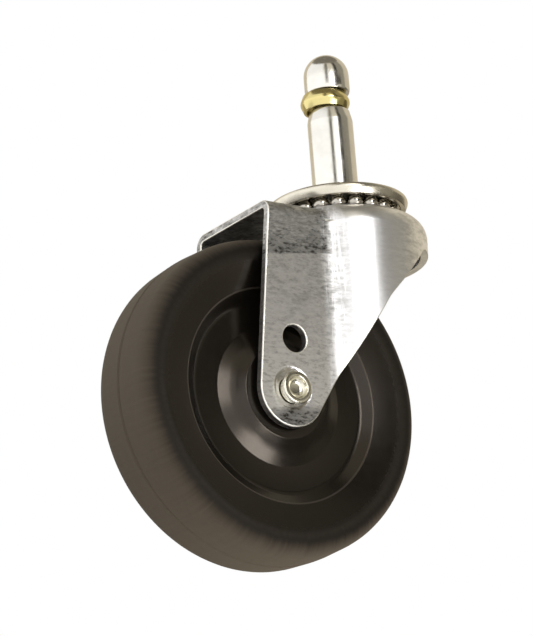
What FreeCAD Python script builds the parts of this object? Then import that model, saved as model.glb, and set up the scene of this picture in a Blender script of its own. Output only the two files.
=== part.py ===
"""A rubber-wheeled swivel castor on a grip-ring stem, with two rows of balls in its swivel.

Millimetres, +Z up. The origin is on the stem's axis, at the seat face where the stem
leaves the upper raceway. The wheel trails towards -X and its axle runs along Y.
"""
import math
import os

import FreeCAD
import Part
import Sketcher

Vector = FreeCAD.Vector
Rotation = FreeCAD.Rotation
Placement = FreeCAD.Placement

doc = FreeCAD.newDocument("SwivelCastor")

# Driving dimensions
SIZES = [
    ("stem_radius", 5.556, "shank of the stem, a 7/16 in pin"),
    ("stem_length", 38.1, "seat face to the top of the dome"),
    ("crown_flat", 0.05, "flat left at the very top of the dome"),
    ("head_foot_radius", 5.3, "lower end of the head, above the neck"),
    ("head_foot_length", 0.8, "taper at that end, below the plain part of the head"),
    ("neck_radius", 3.85, "neck that holds the grip ring"),
    ("neck_length", 4.8, "neck that holds the grip ring"),
    ("head_length", 10.1, "head above the neck"),
    ("shank_end_radius", 4.95, "shank just below the neck"),
    ("shank_taper", 2.7, "length of the taper below the neck"),
    ("shank_round", 4.0, "bend from shank to taper"),
    ("foot_radius", 5.9, "low shoulder at the foot of the shank, sunk flush in the seat"),
    ("foot_sink", 0.4, "how deep that shoulder is sunk"),
    ("tenon_radius", 4.0, "tenon through the raceways"),
    ("peen_radius", 5.6, "riveted end of the tenon"),
    ("peen_thickness", 1.5, "riveted end of the tenon"),
    ("peen_round", 1.05, "riveted end of the tenon"),
    ("ring_bulge_radius", 6.2, "where the two flanks of the grip ring would meet"),
    ("ring_hollow_radius", 5.48, "the same on the inside of the strip"),
    ("ring_mouth_radius", 4.75, "inside of the grip ring at its two edges"),
    ("ring_sheet", 0.6, "strip of the grip ring"),
    ("ring_round", 1.6, "bulge of the grip ring"),
    ("ring_float", 0.35, "play of the grip ring along its neck"),
    ("ring_split", 28.0, "opening of the grip ring in degrees"),
    ("ring_turn", 67.0, "where the opening starts, in degrees from +X"),
    ("ring_slack_x", -0.65, "sideways rest of the loose ring"),
    ("ring_slack_y", 0.46, "sideways rest of the loose ring"),
    ("ball_radius", 1.984, "5/32 in balls"),
    ("ball_play", 0.04, "track radius over ball radius"),
    ("track_depth", 0.2, "how deep each track is pressed"),
    ("upper_pitch", 13.0, "pitch radius of the upper balls"),
    ("upper_count", 20, "upper balls"),
    ("lower_pitch", 8.6, "pitch radius of the lower balls"),
    ("lower_count", 13, "lower balls"),
    ("cap_corner_radius", 17.59, "where top and rim of the upper raceway would meet"),
    ("cap_sheet", 2.0, "sheet of the upper raceway"),
    ("cap_seat_radius", 7.5, "raised seat round the stem"),
    ("cap_step_radius", 10.5, "foot of the raised seat"),
    ("cap_step_round", 1.5, "bends of the raised seat, above"),
    ("cap_under_round", 1.0, "bends of the raised seat, below"),
    ("cap_under_shift", 0.6, "how much nearer the stem the bends are below"),
    ("cap_round", 1.0, "rounded edge of the upper raceway"),
    ("cap_lip_radius", 16.39, "lower rim of the upper raceway"),
    ("cap_lip_wall", 1.4, "lower rim of the upper raceway"),
    ("cap_lip_round", 0.35, "lower rim of the upper raceway"),
    ("cap_depth", 3.75, "lower rim below the seat"),
    ("cup_radius", 12.6, "lower raceway"),
    ("cup_sheet", 1.6, "lower raceway"),
    ("cup_round", 0.4, "inner bend of the lower raceway"),
    ("cup_gap", 0.9, "lower raceway's rim to the fork"),
    ("fork_sheet", 1.9, "sheet of the fork"),
    ("dome_drop", 6.6, "top of the fork's dome below the seat"),
    ("dome_radius", 20.95, "fork's dome and its round skirt"),
    ("dome_round", 5.3, "shoulder of the dome"),
    ("skirt_drop", 11.95, "where the skirt starts to draw in"),
    ("rim_drop", 16.2, "front rim of the skirt below the seat"),
    ("plate_drop", 8.5, "flat top behind the dome"),
    ("leg_half_top", 15.41, "half width over the legs at the flat top"),
    ("leg_half_axle", 13.7, "half width over the legs at the axle"),
    ("corner_round", 3.0, "bend from the flat top into a leg"),
    ("crease_top", 4.4, "bend from a flat leg into the skirt, above"),
    ("crease_foot", 4.5, "the same bend at the foot"),
    ("boss_radius", 8.7, "rounded foot of a leg about the axle"),
    ("rear_tilt", 6.1, "slope of a leg's rear edge in degrees"),
    ("lead_angle", 57.2, "slope of a leg's leading edge in degrees"),
    ("knee_x", -1.5, "knee in the leading edge"),
    ("knee_round", 14.0, "knee in the leading edge"),
    ("brow_x", 11.8, "where the leading edge meets the front rim"),
    ("brow_round", 3.0, "the same corner"),
    ("blank_spare", 3.0, "metal left behind and below the feet until they are trimmed"),
    ("cut_spare", 2.0, "how far a cut runs past the metal"),
    ("king_hole_radius", 6.2, "hole in the dome for the tenon"),
    ("lead", 27.34, "axle behind the swivel axis"),
    ("axle_drop", 54.05, "axle below the seat"),
    ("spare_hole_radius", 3.25, "second axle hole"),
    ("spare_hole_ahead", 1.3, "second axle hole ahead of the axle"),
    ("spare_hole_rise", 12.2, "second axle hole above the axle"),
    ("dimple_radius", 5.25, "dimple round the rivet"),
    ("dimple_depth", 0.8, "dimple round the rivet"),
    ("rivet_radius", 3.1, "rivet that is the axle"),
    ("rivet_play", 0.05, "rivet in its holes and in the sleeve"),
    ("flare_radius", 3.9, "flared end of the rivet"),
    ("flare_stand", 2.2, "flared end proud of the leg"),
    ("flare_lip", 0.9, "flared end at its rim"),
    ("flare_rise", 0.3, "foot of the flare above the dimple's bed"),
    ("flare_round", 0.45, "outer edge of the flare"),
    ("flare_under_round", 0.6, "underside of the flare"),
    ("cup_mouth_radius", 2.6, "cup in each end of the rivet, at its mouth"),
    ("cup_floor_radius", 2.1, "the same cup at its floor"),
    ("cup_hollow", 1.5, "depth of the same cup"),
    ("cup_bend", 0.5, "bend at the floor of the same cup"),
    ("cup_mouth_round", 0.25, "edge of the mouth of the same cup"),
    ("sleeve_radius", 4.25, "sleeve between the legs"),
    ("sleeve_end_gap", 0.14, "sleeve's end to the leg"),
    ("bush_radius", 6.0, "bush in the wheel's hub"),
    ("bush_stand", 0.05, "bush proud of the hub"),
    ("running_play", 0.05, "bush on the sleeve"),
    ("washer_radius", 7.4, "washer between hub and leg"),
    ("washer_sheet", 0.6, "washer between hub and leg"),
    ("washer_gap", 0.1, "washer's play beside the hub"),
    ("washer_leg_gap", 0.17, "washer to the leg, where the leg comes nearest"),
    ("wheel_radius", 38.1, "3 in wheel"),
    ("tread_corner_radius", 37.44, "where side and tread would meet"),
    ("tread_corner_half", 12.6, "the same corner, from the middle"),
    ("tread_round", 4.8, "rounded edge of the tread"),
    ("seam_half", 0.55, "groove left by the mould's parting"),
    ("seam_depth", 0.35, "groove left by the mould's parting"),
    ("ring_edge_radius", 25.57, "edge of the dished side"),
    ("ring_edge_half", 9.49, "the same edge, from the middle"),
    ("ring_edge_round", 0.5, "the same edge"),
    ("floor_outer_radius", 22.3, "foot of the dished side"),
    ("floor_inner_radius", 16.7, "foot of the hub's cone"),
    ("floor_half", 7.8, "floor of the dish, from the middle"),
    ("floor_round", 1.0, "both bends at the floor of the dish"),
    ("hub_radius", 10.7, "end face of the hub"),
    ("hub_round", 0.6, "edge of the hub's end face"),
]

dim = doc.addObject("Spreadsheet::Sheet", "dim")
for row, (alias, size, meaning) in enumerate(SIZES, start=1):
    dim.set(f"A{row}", meaning)
    dim.set(f"B{row}", str(size))
    dim.setAlias(f"B{row}", alias)
doc.recompute()

trial = doc.addObject("Spreadsheet::Sheet", "trial")


def value_of(expression):
    """The number that an expression over the sizes stands for."""
    trial.set("A1", "=" + expression)
    trial.recompute()
    return float(trial.A1)


# The neck lies just under the head
NECK_HIGH = "(dim.stem_length - dim.head_length)"
NECK_LOW = f"({NECK_HIGH} - dim.neck_length)"

# Levels that follow from the balls, counted down from the seat
TRACK = "(dim.ball_radius + dim.ball_play)"
UPPER_DROP = f"(dim.dome_drop - {TRACK} + dim.track_depth)"
CAP_UNDER = f"({UPPER_DROP} - {TRACK} + dim.track_depth)"
CAP_STEP = f"({CAP_UNDER} - dim.cap_sheet)"
WEB_DROP = "(dim.dome_drop + dim.fork_sheet)"
LOWER_DROP = f"({WEB_DROP} + {TRACK} - dim.track_depth)"
CUP_FLOOR = f"({LOWER_DROP} + {TRACK} - dim.track_depth)"
CUP_UNDER = f"({CUP_FLOOR} + dim.cup_sheet)"

# The legs draw in towards the axle, and the round skirt with them
DRAW = "((dim.leg_half_top - dim.leg_half_axle) / (dim.axle_drop - dim.plate_drop))"
FOOT_DROP = "(dim.axle_drop + dim.boss_radius + dim.blank_spare)"
BLANK_REAR = "(dim.lead + dim.boss_radius + dim.blank_spare)"
CUT_REAR = f"({BLANK_REAR} + dim.cut_spare)"


def leg_half(drop):
    """Half width over the legs at a level below the seat."""
    return f"(dim.leg_half_top - {DRAW} * ({drop} - dim.plate_drop))"


def leg_inner(reach):
    """Half width between the legs, where they come nearest within a reach of the axle."""
    above = leg_half(f"(dim.axle_drop - {reach})")
    below = leg_half(f"(dim.axle_drop + {reach})")
    return f"(min({above}; {below}) - dim.fork_sheet)"


def skirt_radius(drop):
    """Radius of the round skirt at a level below the seat."""
    return f"(dim.dome_radius - {DRAW} * ({drop} - dim.skirt_drop))"


# The washers stand just clear of the legs, and the bush and the hub between the washers
WASHER_OUTER = f"({leg_inner('dim.washer_radius')} - dim.washer_leg_gap)"
WASHER_INNER = f"({WASHER_OUTER} - dim.washer_sheet)"
BUSH_HALF = f"({WASHER_INNER} - dim.washer_gap)"
HUB_HALF = f"({BUSH_HALF} - dim.bush_stand)"


# Bodies and their sketches
def new_body(label):
    """A body whose label names its file."""
    body = doc.addObject("PartDesign::Body", label)
    body.Label = label
    return body


def new_sketch(body, name, role):
    """A sketch flat on one of the body's own origin planes."""
    sketch = body.newObject("Sketcher::SketchObject", f"{body.Label}_{name}")
    plane = next(item for item in body.Origin.OriginFeatures if item.Role == role)
    sketch.AttachmentSupport = [(plane, "")]
    sketch.MapMode = "FlatFace"
    return sketch


def constrain(sketch, kind, *terms, size=None):
    """One constraint, bound to an expression where it has a size."""
    if size is None:
        return sketch.addConstraint(Sketcher.Constraint(kind, *terms))
    index = sketch.addConstraint(Sketcher.Constraint(kind, *terms, value_of(size)))
    sketch.setExpression(f"Constraints[{index}]", size)
    return index


def pin_point(sketch, element, end, across, up):
    """Holds one point of an element at a place given by two expressions."""
    for kind, axis, size in (("DistanceX", -2, across), ("DistanceY", -1, up)):
        if size == "0":
            constrain(sketch, "PointOnObject", element, end, axis)
        else:
            constrain(sketch, kind, -1, 1, element, end, size=size)


def corner_arc(before, corner, after, radius):
    """Where a corner's arc starts and ends, its centre, and whether it turns left."""
    back = (before - corner).normalize()
    ahead = (after - corner).normalize()
    half = back.getAngle(ahead) / 2
    reach = radius / math.tan(half)
    centre = corner + (back + ahead).normalize() * (radius / math.sin(half))
    left = (back * -1).cross(ahead).z > 0
    return corner + back * reach, corner + ahead * reach, centre, left


def arc_between(start, end, centre, left):
    """An arc of a circle from start to end, and which of its ends is the start."""
    first, last = (start, end) if left else (end, start)
    angles = [math.atan2(spot.y - centre.y, spot.x - centre.x) for spot in (first, last)]
    if angles[1] < angles[0]:
        angles[1] += 2 * math.pi
    circle = Part.Circle(centre, Vector(0, 0, 1), (start - centre).Length)
    return Part.ArcOfCircle(circle, *angles), (1, 2) if left else (2, 1)


def draw_outline(sketch, corners):
    """A closed outline. Each corner is (across, up) or (across, up, radius of its arc)."""
    spots = [Vector(value_of(corner[0]), value_of(corner[1]), 0) for corner in corners]
    count = len(corners)
    enters, leaves, arcs = [], [], []
    for index, corner in enumerate(corners):
        if len(corner) == 2:
            enters.append(spots[index])
            leaves.append(spots[index])
            arcs.append(None)
            continue
        start, end, centre, left = corner_arc(
            spots[index - 1], spots[index], spots[(index + 1) % count], value_of(corner[2]))
        enters.append(start)
        leaves.append(end)
        arcs.append((centre, left))
    lines = []
    for index in range(count):
        run = Part.LineSegment(leaves[index], enters[(index + 1) % count])
        lines.append(sketch.addGeometry(run))
    for index, corner in enumerate(corners):
        line_in, line_out = lines[index - 1], lines[index]
        if arcs[index] is None:
            constrain(sketch, "Coincident", line_in, 2, line_out, 1)
            pin_point(sketch, line_out, 1, corner[0], corner[1])
            continue
        centre, left = arcs[index]
        arc, (first, last) = arc_between(enters[index], leaves[index], centre, left)
        bend = sketch.addGeometry(arc)
        apex = sketch.addGeometry(Part.Point(spots[index]), True)
        constrain(sketch, "Tangent", line_in, 2, bend, first)
        constrain(sketch, "Tangent", bend, last, line_out, 1)
        constrain(sketch, "Radius", bend, size=corner[2])
        constrain(sketch, "PointOnObject", apex, 1, line_in)
        constrain(sketch, "PointOnObject", apex, 1, line_out)
        pin_point(sketch, apex, 1, corner[0], corner[1])


def draw_circle(sketch, across, up, radius):
    """A circle about a place given by expressions."""
    centre = Vector(value_of(across), value_of(up), 0)
    circle = sketch.addGeometry(Part.Circle(centre, Vector(0, 0, 1), value_of(radius)))
    constrain(sketch, "Radius", circle, size=radius)
    pin_point(sketch, circle, 3, across, up)


def add_feature(body, kind, name, sketch):
    """A feature on a sketch of its body."""
    feature = body.newObject(f"PartDesign::{kind}", f"{body.Label}_{name}")
    feature.Profile = sketch
    return feature


def turn(body, kind, name, corners, angle="360"):
    """A Revolution or Groove of an outline about the body's upright axis."""
    sketch = new_sketch(body, f"{name}_section", "XZ_Plane")
    draw_outline(sketch, corners)
    feature = add_feature(body, kind, name, sketch)
    feature.ReferenceAxis = (sketch, ["V_Axis"])
    feature.setExpression("Angle", angle)
    return feature


def press_track(body, name, pitch, drop):
    """A ring-shaped ball track, cut by a circle turned about the upright axis."""
    sketch = new_sketch(body, f"{name}_section", "XZ_Plane")
    draw_circle(sketch, pitch, f"-{drop}", TRACK)
    feature = add_feature(body, "Groove", name, sketch)
    feature.ReferenceAxis = (sketch, ["V_Axis"])
    feature.Angle = 360


def lay_on_axle(body):
    """Turns a piece made about an upright axis onto the axle."""
    body.Placement.Rotation = Rotation(Vector(1, 0, 0), -90)
    body.setExpression("Placement.Base.x", "-dim.lead")
    body.setExpression("Placement.Base.z", "-dim.axle_drop")


def mirrored(corners):
    """The corners of one half, then the same for the other half, in order."""
    other = [(corner[0], f"-({corner[1]})", *corner[2:]) for corner in reversed(corners)]
    return corners + other


# Stem: turned pin with a domed head, a neck for the ring and a riveted tenon
def make_stem():
    body = new_body("stem")
    peen_end = f"-({CUP_UNDER} + dim.peen_thickness)"
    turn(body, "Revolution", "turned", [
        ("0", peen_end),
        ("dim.peen_radius", peen_end, "dim.peen_round"),
        ("dim.peen_radius", f"-{CUP_UNDER}"),
        ("dim.tenon_radius", f"-{CUP_UNDER}"),
        ("dim.tenon_radius", "-dim.foot_sink"),
        ("dim.foot_radius", "-dim.foot_sink"),
        ("dim.foot_radius", "0"),
        ("dim.stem_radius", "0"),
        ("dim.stem_radius", f"{NECK_LOW} - dim.shank_taper", "dim.shank_round"),
        ("dim.shank_end_radius", NECK_LOW),
        ("dim.neck_radius", NECK_LOW),
        ("dim.neck_radius", NECK_HIGH),
        ("dim.head_foot_radius", NECK_HIGH),
        ("dim.stem_radius", f"{NECK_HIGH} + dim.head_foot_length"),
        ("dim.stem_radius", "dim.stem_length", "dim.stem_radius - dim.crown_flat"),
        ("0", "dim.stem_length"),
    ])
    return body


# Grip ring: a split strip, bulged outwards, that lies loose in the neck
def make_grip_ring():
    body = new_body("grip_ring")
    low = f"({NECK_LOW} + dim.ring_float)"
    high = f"({NECK_HIGH} - dim.ring_float)"
    middle = f"(({low} + {high}) / 2)"
    edge = "(dim.ring_mouth_radius + dim.ring_sheet)"
    turn(body, "Revolution", "bulged_strip", [
        ("dim.ring_mouth_radius", low),
        (edge, low),
        ("dim.ring_bulge_radius", middle, "dim.ring_round"),
        (edge, high),
        ("dim.ring_mouth_radius", high),
        ("dim.ring_hollow_radius", middle, "dim.ring_round - dim.ring_sheet"),
    ], angle="360 - dim.ring_split")
    body.Placement.Rotation = Rotation(Vector(0, 0, 1), dim.ring_turn)
    body.setExpression("Placement.Base.x", "dim.ring_slack_x")
    body.setExpression("Placement.Base.y", "dim.ring_slack_y")
    return body


# Upper raceway: a pressed cap with a raised seat and a turned-down rim
def make_upper_raceway():
    body = new_body("upper_raceway")
    inner_lip = "(dim.cap_lip_radius - dim.cap_lip_wall)"
    rim_lean = f"((dim.cap_corner_radius - dim.cap_lip_radius) / (dim.cap_depth - {CAP_STEP}))"
    turn(body, "Revolution", "pressing", [
        ("dim.tenon_radius", "-dim.foot_sink"),
        ("dim.foot_radius", "-dim.foot_sink"),
        ("dim.foot_radius", "0"),
        ("dim.cap_seat_radius", "0", "dim.cap_step_round"),
        ("dim.cap_step_radius", f"-{CAP_STEP}", "dim.cap_step_round"),
        ("dim.cap_corner_radius", f"-{CAP_STEP}", "dim.cap_round"),
        ("dim.cap_lip_radius", "-dim.cap_depth", "dim.cap_lip_round"),
        (inner_lip, "-dim.cap_depth", "dim.cap_lip_round"),
        (f"{inner_lip} + {rim_lean} * (dim.cap_depth - {CAP_UNDER})", f"-{CAP_UNDER}"),
        ("dim.cap_step_radius - dim.cap_under_shift", f"-{CAP_UNDER}", "dim.cap_under_round"),
        ("dim.cap_seat_radius - dim.cap_under_shift", "-dim.cap_sheet", "dim.cap_under_round"),
        ("dim.tenon_radius", "-dim.cap_sheet"),
    ])
    press_track(body, "ball_track", "dim.upper_pitch", UPPER_DROP)
    return body


# Lower raceway: a shallow cup that the riveted tenon holds up against the balls
def make_lower_raceway():
    body = new_body("lower_raceway")
    rim = f"-({WEB_DROP} + dim.cup_gap)"
    turn(body, "Revolution", "pressing", [
        ("dim.tenon_radius", f"-{CUP_UNDER}"),
        ("dim.cup_radius", f"-{CUP_UNDER}", "dim.cup_sheet + dim.cup_round"),
        ("dim.cup_radius", rim),
        ("dim.cup_radius - dim.cup_sheet", rim),
        ("dim.cup_radius - dim.cup_sheet", f"-{CUP_FLOOR}", "dim.cup_round"),
        ("dim.tenon_radius", f"-{CUP_FLOOR}"),
    ])
    press_track(body, "ball_track", "dim.lower_pitch", LOWER_DROP)
    return body


# Balls: each a many-sided solid, laid out evenly on its pitch circle
BALL_SIDES = 10
BALL_BANDS = 6


def ball_shape(radius):
    """A ball of flat faces whose corners all lie on the sphere."""
    rings = []
    for band in range(BALL_BANDS + 1):
        tilt = math.pi * band / BALL_BANDS
        reach, rise = radius * math.sin(tilt), radius * math.cos(tilt)
        ring = []
        for side in range(BALL_SIDES):
            turned = 2 * math.pi * side / BALL_SIDES
            ring.append(Vector(reach * math.cos(turned), reach * math.sin(turned), rise))
        rings.append(ring)
    faces = []
    for upper, lower in zip(rings, rings[1:]):
        for side in range(BALL_SIDES):
            after = (side + 1) % BALL_SIDES
            spots = [upper[side], upper[after], lower[after], lower[side]]
            if upper is rings[0]:
                spots = [Vector(0, 0, radius), lower[after], lower[side]]
            if lower is rings[-1]:
                spots = [upper[side], upper[after], Vector(0, 0, -radius)]
            faces.append(Part.Face(Part.makePolygon(spots + spots[:1])))
    return Part.Solid(Part.Shell(faces))


def make_balls(row, count, pitch, drop):
    """One row of balls about the swivel axis."""
    shape = ball_shape(dim.ball_radius)
    balls = []
    for index in range(int(count)):
        ball = doc.addObject("Part::Feature", f"{row}_ball_{index + 1:02d}")
        ball.Label = ball.Name
        ball.Shape = shape
        turned = Rotation(Vector(0, 0, 1), 360.0 * index / count)
        ball.Placement = Placement(turned.multVec(Vector(pitch, 0, -value_of(drop))), turned)
        balls.append(ball)
    return balls


# Fork: one drawn pressing, with a dome over the balls, a round skirt in front that
# runs into two flat legs, and an open channel behind
def draw_plan(sketch, drop, inset, rear, crease):
    """The fork seen from above at one level: flat sides that bend out into the round skirt."""
    half = value_of(f"{leg_half(drop)} - {inset}")
    radius = value_of(f"{skirt_radius(drop)} - {inset}")
    bend = value_of(f"{crease} + {inset}")
    back = -value_of(rear)
    bend_x = -math.sqrt((radius + bend) ** 2 - (half + bend) ** 2)
    centre = Vector(0, 0, 0)
    ends = {}
    for side in (-1, 1):
        bend_centre = Vector(bend_x, side * (half + bend), 0)
        ends[side] = (Vector(bend_x, side * half, 0), bend_centre * (radius / (radius + bend)), bend_centre)
    rear_line = sketch.addGeometry(Part.LineSegment(Vector(back, half, 0), Vector(back, -half, 0)))
    near_line = sketch.addGeometry(Part.LineSegment(Vector(back, -half, 0), ends[-1][0]))
    near_arc, (near_in, near_out) = arc_between(ends[-1][0], ends[-1][1], ends[-1][2], False)
    near_bend = sketch.addGeometry(near_arc)
    front_arc, _ = arc_between(ends[-1][1], ends[1][1], centre, True)
    front = sketch.addGeometry(front_arc)
    far_arc, (far_in, far_out) = arc_between(ends[1][1], ends[1][0], ends[1][2], False)
    far_bend = sketch.addGeometry(far_arc)
    far_line = sketch.addGeometry(Part.LineSegment(ends[1][0], Vector(back, half, 0)))
    constrain(sketch, "Coincident", rear_line, 2, near_line, 1)
    constrain(sketch, "Coincident", far_line, 2, rear_line, 1)
    constrain(sketch, "Horizontal", near_line)
    constrain(sketch, "Horizontal", far_line)
    pin_point(sketch, near_line, 1, f"-{rear}", f"-({leg_half(drop)} - {inset})")
    pin_point(sketch, far_line, 2, f"-{rear}", f"{leg_half(drop)} - {inset}")
    constrain(sketch, "Tangent", near_line, 2, near_bend, near_in)
    constrain(sketch, "Tangent", near_bend, near_out, front, 1)
    constrain(sketch, "Tangent", front, 2, far_bend, far_in)
    constrain(sketch, "Tangent", far_bend, far_out, far_line, 1)
    constrain(sketch, "Coincident", front, 3, -1, 1)
    constrain(sketch, "Radius", near_bend, size=f"{crease} + {inset}")
    constrain(sketch, "Radius", far_bend, size=f"{crease} + {inset}")
    constrain(sketch, "Radius", front, size=f"{skirt_radius(drop)} - {inset}")


def loft_skirt(body, kind, name, inset, rear):
    """The drawn skirt and legs, between a plan at the skirt's top and one at the foot."""
    plans = []
    for level, drop, crease in (("top", "dim.skirt_drop", "dim.crease_top"),
                                ("foot", FOOT_DROP, "dim.crease_foot")):
        sketch = new_sketch(body, f"{name}_{level}", "XY_Plane")
        sketch.setExpression("AttachmentOffset.Base.z", f"-{drop}")
        draw_plan(sketch, drop, inset, rear, crease)
        plans.append(sketch)
    feature = add_feature(body, kind, name, plans[0])
    feature.Sections = plans[1:]
    feature.Ruled = True


def bend_channel(body, kind, name, inset, rear):
    """The flat top with its two bends, run along X behind the dome."""
    sketch = new_sketch(body, f"{name}_section", "YZ_Plane")
    top = f"(dim.plate_drop + {inset})"
    high = f"({leg_half(top)} - {inset})"
    low = f"({leg_half('dim.skirt_drop')} - {inset})"
    draw_outline(sketch, [
        (f"-{high}", f"-{top}", f"dim.corner_round - {inset}"),
        (f"-{low}", "-dim.skirt_drop"),
        (low, "-dim.skirt_drop"),
        (high, f"-{top}", f"dim.corner_round - {inset}"),
    ])
    feature = add_feature(body, kind, name, sketch)
    feature.setExpression("Length", rear)
    feature.Reversed = kind == "Pad"


def swell_dome(body, kind, name, inset):
    """The dome over the balls, down to where the skirt starts."""
    turn(body, kind, name, [
        ("0", f"-(dim.dome_drop + {inset})"),
        (f"dim.dome_radius - {inset}", f"-(dim.dome_drop + {inset})", f"dim.dome_round - {inset}"),
        (f"dim.dome_radius - {inset}", "-dim.skirt_drop"),
        ("0", "-dim.skirt_drop"),
    ])


def trim_side(body):
    """Cuts the blank to its side view: feet about the axle, slanting legs and the front rim."""
    sketch = new_sketch(body, "side_view", "XZ_Plane")
    far = "(dim.axle_drop * 2)"
    draw_outline(sketch, [(f"-{far}", f"-{far}"), (far, f"-{far}"), (far, far), (f"-{far}", far)])
    rear_x = (f"-dim.lead - dim.boss_radius / cos(dim.rear_tilt)"
              f" + tan(dim.rear_tilt) * (dim.axle_drop + dim.cut_spare)")
    front_x = "dim.dome_radius + dim.cut_spare"
    # Both edges touch the boss circle, so they meet below it at this corner
    spread = "(dim.boss_radius / (1 - sin(dim.lead_angle + dim.rear_tilt)))"
    foot_x = f"-dim.lead + {spread} * (sin(dim.lead_angle) - cos(dim.rear_tilt))"
    foot_z = f"-dim.axle_drop + {spread} * (sin(dim.rear_tilt) - cos(dim.lead_angle))"
    knee_z = (f"-dim.axle_drop + ((dim.knee_x + dim.lead) * sin(dim.lead_angle) - dim.boss_radius)"
              f" / cos(dim.lead_angle)")
    draw_outline(sketch, [
        (rear_x, "dim.cut_spare"),
        (foot_x, foot_z, "dim.boss_radius"),
        ("dim.knee_x", knee_z, "dim.knee_round"),
        ("dim.brow_x", "-dim.rim_drop", "dim.brow_round"),
        (front_x, "-dim.rim_drop"),
        (front_x, "dim.cut_spare"),
    ])
    feature = add_feature(body, "Pocket", "side_trim", sketch)
    feature.SideType = "Symmetric"
    feature.Type = "ThroughAll"


def bore_axle_holes(body):
    """Axle holes with a dimple outside each leg, turned about the axle."""
    sketch = new_sketch(body, "axle_holes_section", "XY_Plane")
    sketch.setExpression("AttachmentOffset.Base.z", "-dim.axle_drop")
    hole = "(dim.rivet_radius + dim.rivet_play)"
    bed = "(dim.leg_half_axle - dim.dimple_depth)"
    flank = "((dim.dimple_radius - dim.flare_radius) / dim.dimple_depth)"
    mouth = f"(dim.dimple_radius + {flank} * dim.cut_spare)"
    draw_outline(sketch, mirrored([
        ("-dim.lead", "dim.leg_half_axle + dim.cut_spare"),
        (f"-dim.lead + {mouth}", "dim.leg_half_axle + dim.cut_spare"),
        ("-dim.lead + dim.flare_radius", bed),
        (f"-dim.lead + {hole}", bed),
    ]))
    across, half = value_of("-dim.lead"), value_of("dim.leg_half_axle")
    run = Part.LineSegment(Vector(across, -half, 0), Vector(across, half, 0))
    axis = sketch.addGeometry(run, True)
    constrain(sketch, "Symmetric", axis, 1, axis, 2, -1)
    constrain(sketch, "DistanceX", -1, 1, axis, 1, size="-dim.lead")
    constrain(sketch, "DistanceY", axis, 1, axis, 2, size="2 * dim.leg_half_axle")
    feature = add_feature(body, "Groove", "axle_holes", sketch)
    feature.ReferenceAxis = (sketch, ["Axis0"])
    feature.Angle = 360


def pierce(body, name, role, across, up, radius):
    """A round hole straight through, from one of the origin planes both ways."""
    sketch = new_sketch(body, name, role)
    draw_circle(sketch, across, up, radius)
    feature = add_feature(body, "Pocket", f"{name}_hole", sketch)
    feature.SideType = "Symmetric"
    feature.Type = "ThroughAll"


def make_fork():
    body = new_body("fork")
    swell_dome(body, "Revolution", "dome", "0")
    bend_channel(body, "Pad", "channel", "0", BLANK_REAR)
    loft_skirt(body, "AdditiveLoft", "skirt", "0", BLANK_REAR)
    swell_dome(body, "Groove", "dome_hollow", "dim.fork_sheet")
    bend_channel(body, "Pocket", "channel_hollow", "dim.fork_sheet", CUT_REAR)
    loft_skirt(body, "SubtractiveLoft", "skirt_hollow", "dim.fork_sheet", CUT_REAR)
    trim_side(body)
    press_track(body, "upper_track", "dim.upper_pitch", UPPER_DROP)
    press_track(body, "lower_track", "dim.lower_pitch", LOWER_DROP)
    pierce(body, "king", "XY_Plane", "0", "0", "dim.king_hole_radius")
    pierce(body, "spare", "XZ_Plane", "-dim.lead + dim.spare_hole_ahead",
           "-dim.axle_drop + dim.spare_hole_rise", "dim.spare_hole_radius")
    bore_axle_holes(body)
    return body


# Axle: a rivet with a shallow cup in each end, flared over the legs
def make_axle_rivet():
    body = new_body("axle_rivet")
    end = "(dim.leg_half_axle + dim.flare_stand)"
    bed = "(dim.leg_half_axle - dim.dimple_depth)"
    turn(body, "Revolution", "cupped_rivet", mirrored([
        ("0", f"{end} - dim.cup_hollow"),
        ("dim.cup_floor_radius", f"{end} - dim.cup_hollow", "dim.cup_bend"),
        ("dim.cup_mouth_radius", end, "dim.cup_mouth_round"),
        ("dim.flare_radius", end, "dim.flare_round"),
        ("dim.flare_radius", f"{end} - dim.flare_lip", "dim.flare_under_round"),
        ("dim.rivet_radius", f"{bed} + dim.flare_rise"),
    ][::-1]))
    lay_on_axle(body)
    return body


def make_axle_sleeve():
    body = new_body("axle_sleeve")
    end = f"({leg_inner('dim.sleeve_radius')} - dim.sleeve_end_gap)"
    turn(body, "Revolution", "tube", mirrored([
        ("dim.rivet_radius + dim.rivet_play", end),
        ("dim.sleeve_radius", end),
    ][::-1]))
    lay_on_axle(body)
    return body


# Wheel: one moulding, dished on both sides round a coned hub
def make_wheel():
    body = new_body("wheel")
    half = [
        ("dim.bush_radius", HUB_HALF),
        ("dim.hub_radius", HUB_HALF, "dim.hub_round"),
        ("dim.floor_inner_radius", "dim.floor_half", "dim.floor_round"),
        ("dim.floor_outer_radius", "dim.floor_half", "dim.floor_round"),
        ("dim.ring_edge_radius", "dim.ring_edge_half", "dim.ring_edge_round"),
        ("dim.tread_corner_radius", "dim.tread_corner_half", "dim.tread_round"),
        ("dim.wheel_radius", "dim.seam_half"),
    ]
    seam = [("dim.wheel_radius - dim.seam_depth", "0")]
    other = [(corner[0], f"-{corner[1]}", *corner[2:]) for corner in reversed(half)]
    turn(body, "Revolution", "moulding", half + seam + other)
    lay_on_axle(body)
    return body


def make_hub_bush():
    body = new_body("hub_bush")
    turn(body, "Revolution", "tube", mirrored([
        ("dim.sleeve_radius + dim.running_play", BUSH_HALF),
        ("dim.bush_radius", BUSH_HALF),
    ][::-1]))
    lay_on_axle(body)
    return body


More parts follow.
